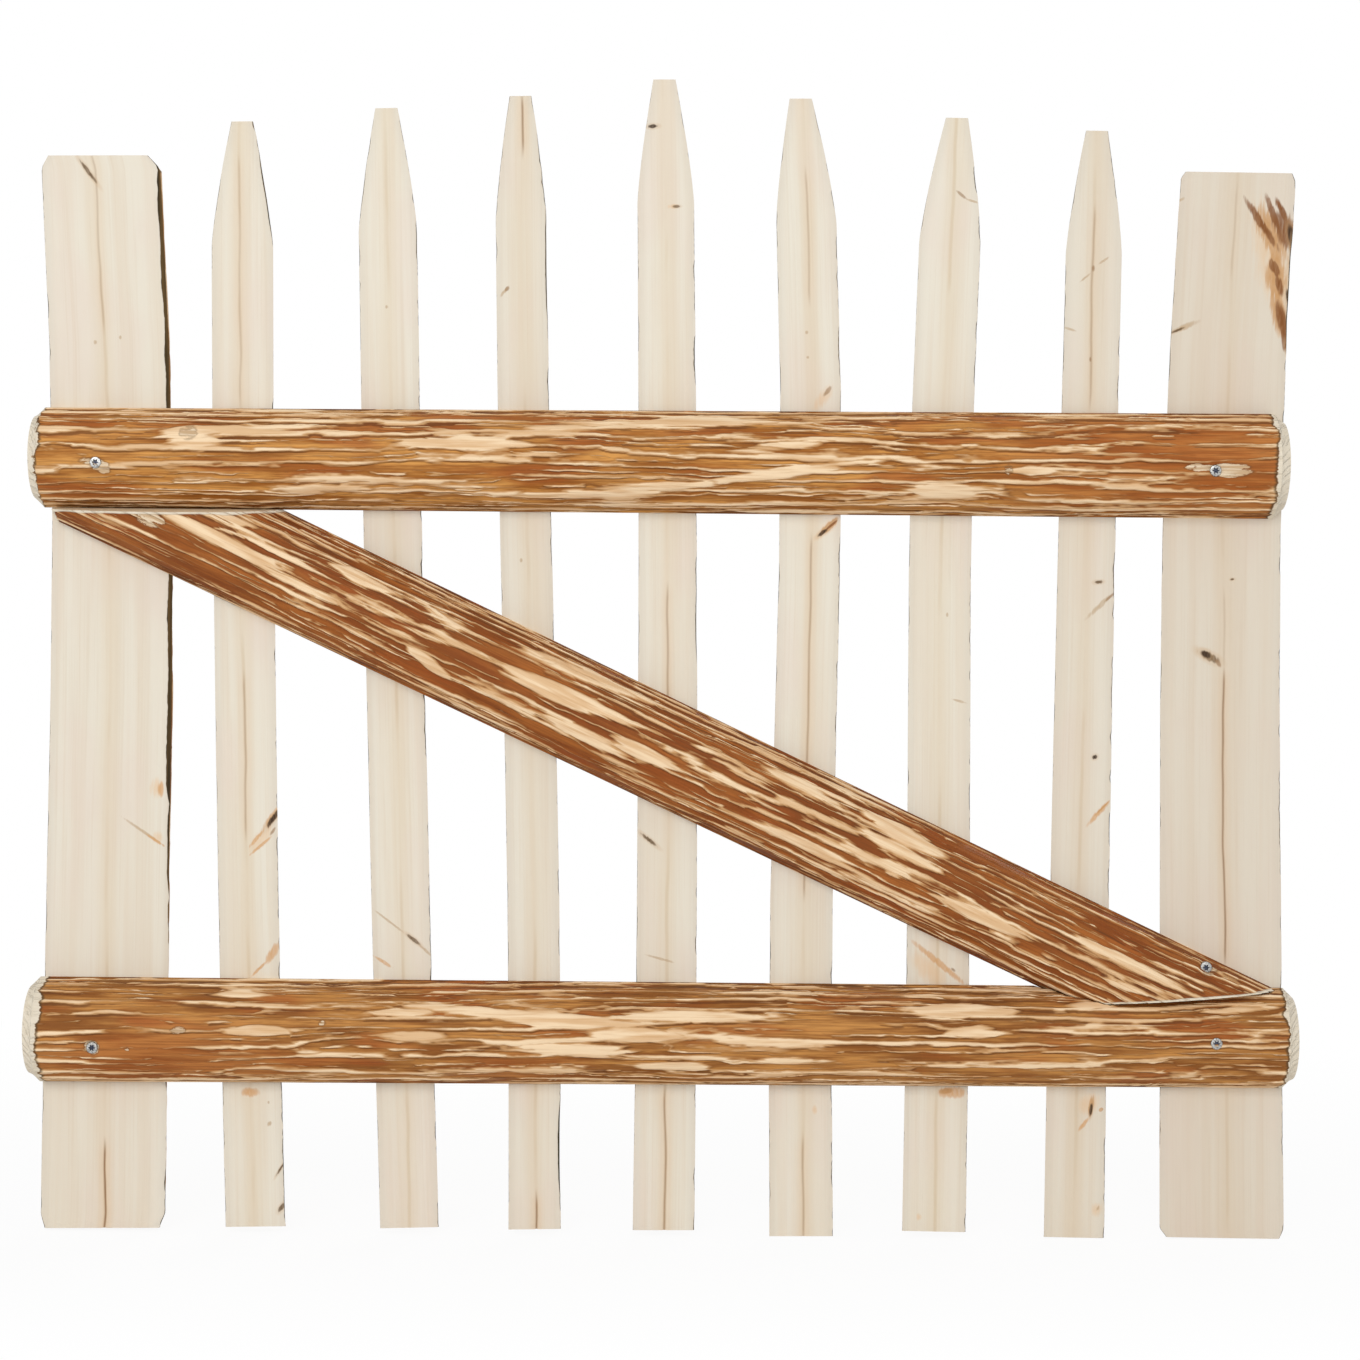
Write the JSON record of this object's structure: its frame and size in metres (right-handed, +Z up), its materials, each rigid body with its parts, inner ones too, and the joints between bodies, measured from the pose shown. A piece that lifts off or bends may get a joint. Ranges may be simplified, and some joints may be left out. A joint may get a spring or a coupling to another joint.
{
  "type": "garden gate",
  "caption": "Rustic picket gate leaf of half-round hazel poles: pointed pales between two wide stiles, joined by two bark-faced rails and a diagonal brace, to hang in a fence opening.",
  "frame": {"origin": "on the hinge stile's sawn face, on the stile's centre line, midway between the two rails", "axes": "+X along the rails, away from the latch stile; +Y from the rail side to the pale side; +Z up along the pales"},
  "size_m": [1.007, 0.0899, 0.9248],
  "materials": {
    "sawn_hazel": "pale sawn wood, untreated and matt, bark left on the round backs",
    "hazel_bark": "half-peeled orange-brown bark with pale streaks, matt"
  },
  "bodies": {
    "root": {"latch_stile": "sawn_hazel", "hinge_stile": "sawn_hazel", "pale_1": "sawn_hazel", "pale_2": "sawn_hazel", "pale_3": "sawn_hazel", "pale_4": "sawn_hazel", "pale_5": "sawn_hazel", "pale_6": "sawn_hazel", "pale_7": "sawn_hazel", "top_rail": "hazel_bark", "bottom_rail": "hazel_bark", "diagonal_brace": "hazel_bark"}
  },
  "joints": []
}
